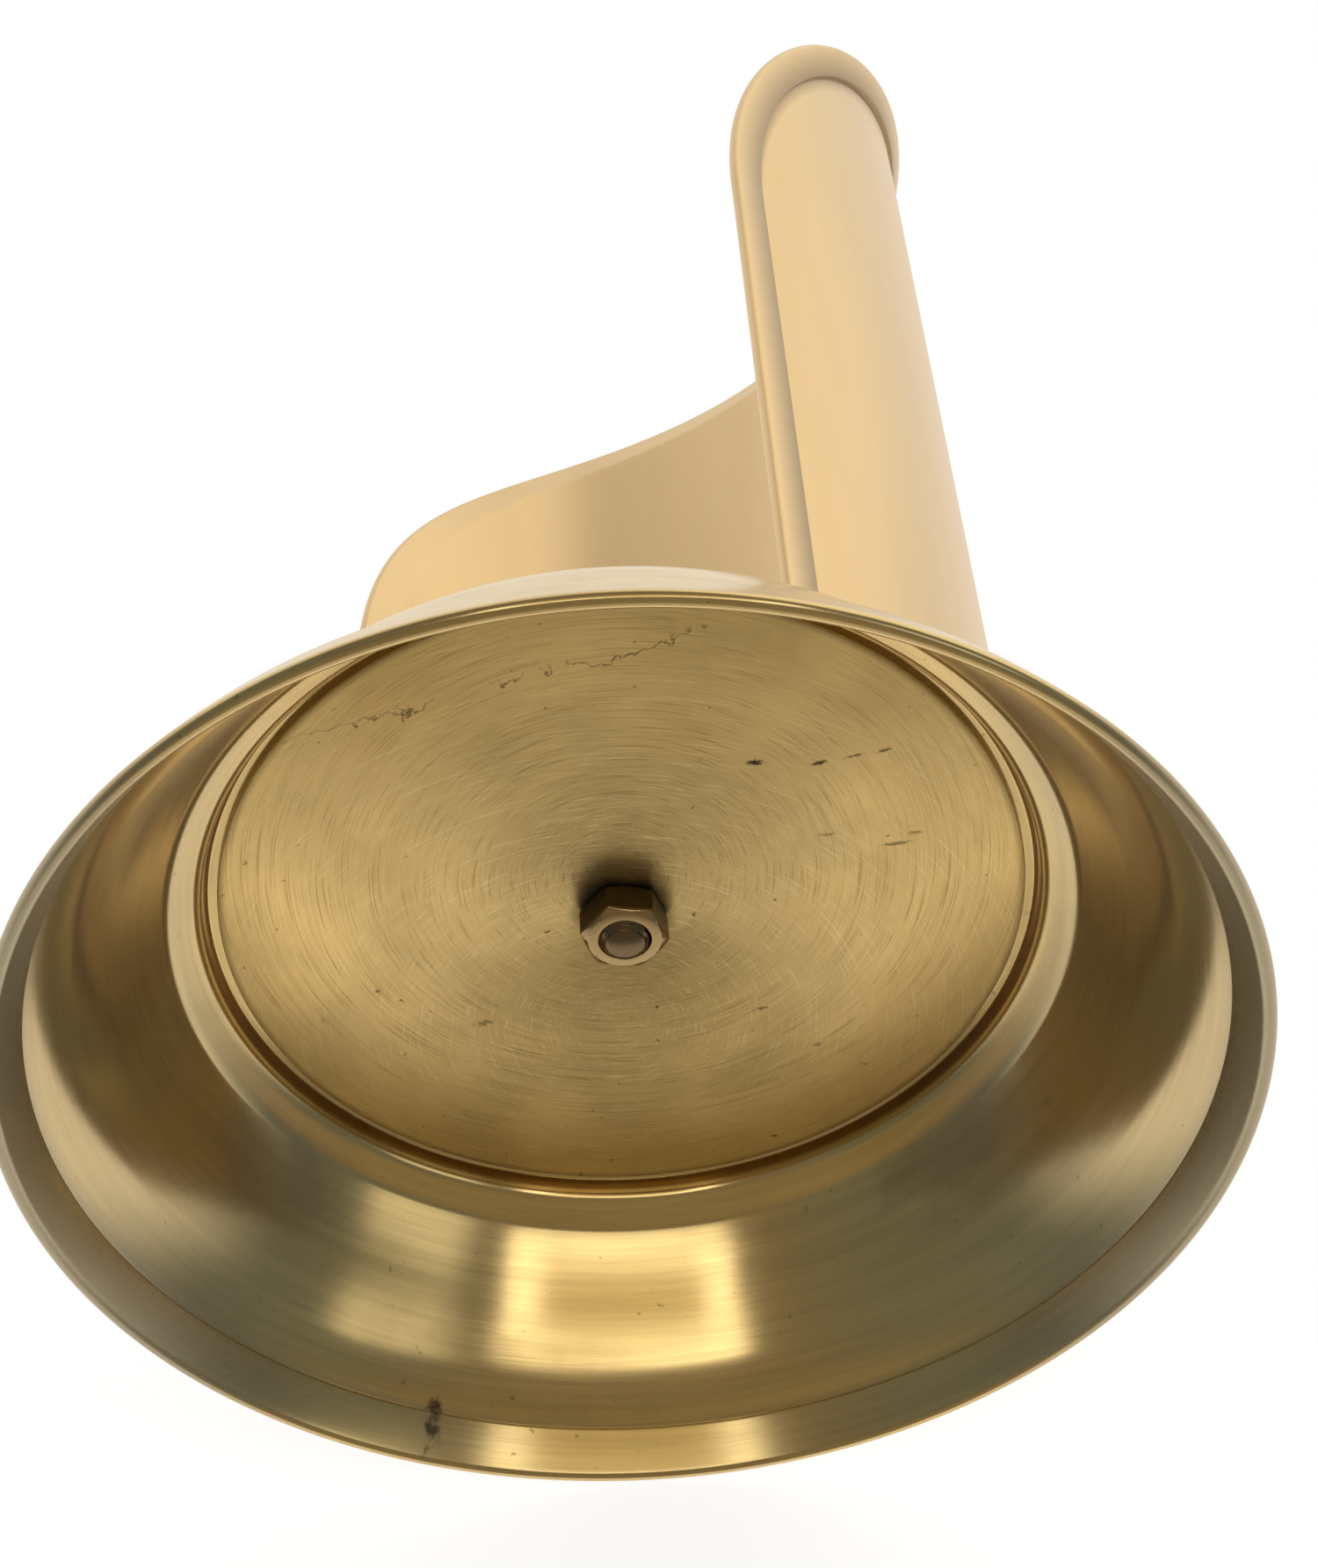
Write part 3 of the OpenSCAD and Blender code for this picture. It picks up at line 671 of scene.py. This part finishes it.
disc_r, disc_face, disc_back = disc_hi.x, disc_lo.z, disc_hi.z
piece("backing_disc_faced", turned(rounded(
    [(stud_hole, disc_back), (stud_hole, disc_face), (disc_r, disc_face), (disc_r, disc_back)],
    [0, 0.2 * mm, 0.3 * mm, 0]), 512), disc_brass, "stand", ["backing_disc"])

piece("hex_nut_chamfered", nut_shape(), nut_brass, "stand", ["hex_nut"], 20)
piece("stud_threaded", stud_shape(), stud_brass, "stand", ["stud"], 50)

shield, ends, seam = shield_shape()
piece("shield_folded", shield, sheet_brass, "stand", ["shield"], 50, ends, seam)
piece("shield_floor_disc", turned(rounded(
    [(stud_hole, floor_lo.z), (floor_hi.x, floor_lo.z), (floor_hi.x, floor_hi.z), (stud_hole, floor_hi.z)],
    [0, 0, 0.2 * mm, 0]), 384), sheet_brass, "stand", ["shield_floor"])

flange, flange_top = foot_hi.x, tube_lo.z
neck, hole = seat_r - 0.05 * mm, stud_r + 0.05 * mm
piece("socket_foot_turned", turned(rounded(
    [(0, foot_hi.z), (neck, foot_hi.z), (neck, flange_top), (flange - 1.5 * mm, flange_top),
     (flange, flange_top - 1.5 * mm), (flange, foot_lo.z), (hole, foot_lo.z), (hole, foot_hi.z - 0.5 * mm),
     (0, foot_hi.z - 0.5 * mm)],
    [0, 0.2 * mm, 0, 0.8 * mm, 0.8 * mm, 0.2 * mm, 0, 0, 0]), 256),
    fitting_brass, "stand", ["socket_foot"])

tube = piece("socket_tube_turned", turned(rounded(
    [(seat_r, tube_lo.z), (tube_r, tube_lo.z), (tube_r, tube_hi.z), (bore_r, tube_hi.z),
     (bore_r, seat_top), (seat_r, seat_top)], [0, 0, 0.5 * mm, 0.5 * mm, 0.1 * mm, 0.1 * mm]), 256),
    fitting_brass, "stand", ["socket_tube"])
drill, drill_faces = turned(np.array([(0, 8 * mm), (screw_r + 0.05 * mm, 8 * mm),
                                      (screw_r + 0.05 * mm, 20 * mm), (0, 20 * mm)]), 96)

piece("socket_collar_turned", turned(rounded(
    [(tube_r, collar_lo.z), (tube_r + 1.1 * mm, collar_lo.z), (collar_hi.x, collar_lo.z + 2.2 * mm),
     (collar_hi.x, collar_hi.z), (tube_r, collar_hi.z)],
    [0, 0.4 * mm, 1.2 * mm, 1.0 * mm, 0.3 * mm], 8), 256),
    fitting_brass, "stand", ["socket_collar"])
piece("pole_felt_disc", turned(rounded(
    [(0, felt_lo.z), (felt_hi.x, felt_lo.z), (felt_hi.x, felt_hi.z), (0, felt_hi.z)],
    [0, 0.3 * mm, 0.5 * mm, 0]), 128), felt, "stand", ["pole_felt"])
piece("clamp_boss_turned", boss_shape(), fitting_brass, "stand", ["clamp_boss"])
piece("clamp_boss_braze", braze_shape(), solder, "stand", (), 60)
piece("socket_seam", seam_shape(tube_r, flange_top, 0.9 * mm), solder, "stand", (), 60)
piece("thumb_screw_knurled", screw_shape(), fitting_brass, "screw", ["thumb_screw"], 40)

pad_in, pad_out = -pad_hi.y, -pad_lo.y
socket = screw_r / 2 + 0.05 * mm
pad, pad_faces = turned(rounded(
    [(0, pad_in), (screw_r, pad_in), (screw_r, pad_out), (socket, pad_out), (socket, pad_out - 1.8 * mm),
     (0, pad_out - 1.8 * mm)], [0, 0.5 * mm, 0.2 * mm, 0, 0, 0]), 96)
piece("pressure_pad_turned", (onto_screw_axis(pad), pad_faces), stud_brass, "pad", ["pressure_pad"])

cutter_mesh = bpy.data.meshes.new("drill")
cutter_mesh.from_pydata(onto_screw_axis(drill).tolist(), [], drill_faces[:, ::-1].tolist())
cutter = bpy.data.objects.new("drill", cutter_mesh)
bpy.context.collection.objects.link(cutter)
clean = bmesh.new()
clean.from_mesh(cutter_mesh)
bmesh.ops.remove_doubles(clean, verts=clean.verts, dist=1e-7)
bmesh.ops.recalc_face_normals(clean, faces=clean.faces)
clean.to_mesh(cutter_mesh)
clean.free()
bore = tube.modifiers.new("screw hole", "BOOLEAN")
bore.object = cutter
bore.solver = "EXACT"
drilled = bpy.data.meshes.new_from_object(tube.evaluated_get(bpy.context.evaluated_depsgraph_get()))
tube.modifiers.clear()
tube.data = drilled
bpy.data.objects.remove(cutter)


# ---- stage: floor, table, light and camera ----

def plane(name, corners, material):
    mesh = bpy.data.meshes.new(name)
    mesh.from_pydata(corners, [], [(0, 1, 2, 3)])
    mesh.materials.append(material)
    made = bpy.data.objects.new(name, mesh)
    bpy.context.collection.objects.link(made)
    return made


away = Vector((-0.8111, 0.5850, 0.0))
across = Vector((0.5850, 0.8111, 0.0))


def paper(name, glow, fade):
    """White board that only the camera sees, from its front; fade(tree) gives how solid it is."""
    made, tree, shader = surface(name)
    shader.inputs["Base Color"].default_value = linear("#F4F4F4")
    shader.inputs["Roughness"].default_value = 0.9
    shader.inputs["Specular IOR Level"].default_value = 0.0
    rays = add(tree, "LightPath")
    back = add(tree, "NewGeometry")["Backfacing"]
    front = add(tree, "Math", {"operation": "SUBTRACT"}, {0: 1.0, 1: back})[0]
    seen = times(tree, times(tree, rays["Is Camera Ray"], front), fade(tree))
    clear = add(tree, "BsdfTransparent")[0]
    shine = add(tree, "Emission", {}, {0: (0.97, 1, 1.08, 1), 1: glow})[0]
    lit = add(tree, "AddShader", {}, {0: shader.outputs[0], 1: shine})[0]
    end = add(tree, "MixShader", {}, {0: seen, 1: clear, 2: lit})[0]
    tree.links.new(end, tree.nodes["Material Output"].inputs[0])
    return made


def table_fade(tree):
    """Solid below the foot of the object, gone a hand's width above it."""
    height = add(tree, "SeparateXYZ", {}, {0: add(tree, "TexCoord")["Object"]})[2]
    return band(tree, height, 0.06, -0.03)


plane("floor", [(-4, -4, 0), (4, -4, 0), (4, 4, 0), (-4, 4, 0)], paper("floor_white", 0.35, lambda tree: 1.0))
lean = math.radians(6.1)
rest = away * rim_r
slope = Vector((-away.x * math.sin(lean), -away.y * math.sin(lean), math.cos(lean)))
plane("table", [rest - across * 1.5 - slope * 2, rest + across * 1.5 - slope * 2,
                rest + across * 1.5 + slope * 0.3, rest - across * 1.5 + slope * 0.3],
      paper("table_white", 0.66, table_fade))

world = bpy.data.worlds.new("studio")
bpy.context.scene.world = world
world.use_nodes = True
tree = world.node_tree
look = add(tree, "TexCoord")["Generated"]
sky = tree.nodes["Background"]
dark_front, dark_side = (0.25, 0.21, 0.15, 1), (0.19, 0.205, 0.19, 1)
open_room, table_below, lamp_above = (1.06, 0.98, 0.86, 1), (0.3, 0.25, 0.16, 1), (1.35, 1.25, 1.02, 1)
dark_way = (-away * math.sin(math.radians(50)) + Vector((0, 0, -math.cos(math.radians(50))))).normalized()
facing = dot(tree, look, dark_way)
open_share = band(tree, facing, 0.32, -0.2)
flank = add(tree, "Math", {"operation": "ABSOLUTE"}, {0: dot(tree, look, across)})[0]
shade = blend_colour(tree, band(tree, flank, 0.3, 0.8), dark_front, dark_side)
room = blend_colour(tree, open_share, shade, open_room)
under = band(tree, add(tree, "SeparateXYZ", {}, {0: look})[2], -0.7, -0.88)
room = blend_colour(tree, under, room, table_below)
above = dot(tree, look, (0.635, 0.2, 0.744))
room = blend_colour(tree, band(tree, above, 0.8, 0.98), room, lamp_above)


def pane(middle_turn, middle_tilt, half_wide, half_high, soft, corner):
    """Share of a rounded rectangular light pane in a direction: distances along the pane's own two
    axes, less its half sizes, give the distance outside it, faded over a soft edge."""
    turn, tilt = math.radians(middle_turn), math.radians(middle_tilt)
    level = -away * math.cos(turn) + across * math.sin(turn)
    centre = level * math.sin(tilt) - Vector((0, 0, math.cos(tilt)))
    side = away * math.sin(turn) + across * math.cos(turn)
    up = level * math.cos(tilt) + Vector((0, 0, math.sin(tilt)))
    x, y, f = dot(tree, look, side), dot(tree, look, up), dot(tree, look, centre)
    spot = add(tree, "CombineXYZ", {}, {0: x, 1: y})[0]
    spot = add(tree, "VectorMath", {"operation": "ABSOLUTE"}, {0: spot})[0]
    over = moved(tree, spot, (half_wide - corner, half_high - corner, 0))
    over = add(tree, "VectorMath", {"operation": "MAXIMUM"}, {0: over, 1: (0, 0, 0)})[0]
    gap = add(tree, "VectorMath", {"operation": "LENGTH"}, {0: over})[1]
    share = band(tree, gap, corner + soft, corner - soft)
    return add(tree, "Math", {"operation": "MULTIPLY"}, {0: share, 1: band(tree, f, 0.0, 0.2)})[0]


outer = pane(5, 69.5, 0.39, 0.19, 0.02, 0.07)
inner = pane(4.5, 73.5, 0.29, 0.14, 0.04, 0.06)
second = pane(52, 66, 0.19, 0.12, 0.07, 0.08)
light = blend_colour(tree, second, room, (1.0, 0.97, 0.85, 1))
light = blend_colour(tree, outer, light, (2.3, 2.2, 1.9, 1))
light = blend_colour(tree, inner, light, (0.74, 0.62, 0.36, 1))
camera_ray = add(tree, "LightPath")["Is Camera Ray"]
light = blend_colour(tree, camera_ray, light, (1, 1, 1, 1))
tree.links.new(light, sky.inputs[0])

camera_data = bpy.data.cameras.new("camera")
camera_data.lens = 68.57
camera_data.sensor_width = 36
camera_data.clip_start = 0.01
camera = bpy.data.objects.new("camera", camera_data)
camera.location = (0.28089, -0.20258, -0.3122)
camera.rotation_euler = Euler([math.radians(v) for v in (138.172, 2.664, 55.956)])
bpy.context.collection.objects.link(camera)
bpy.context.scene.camera = camera

bpy.context.scene.view_settings.view_transform = "Standard"
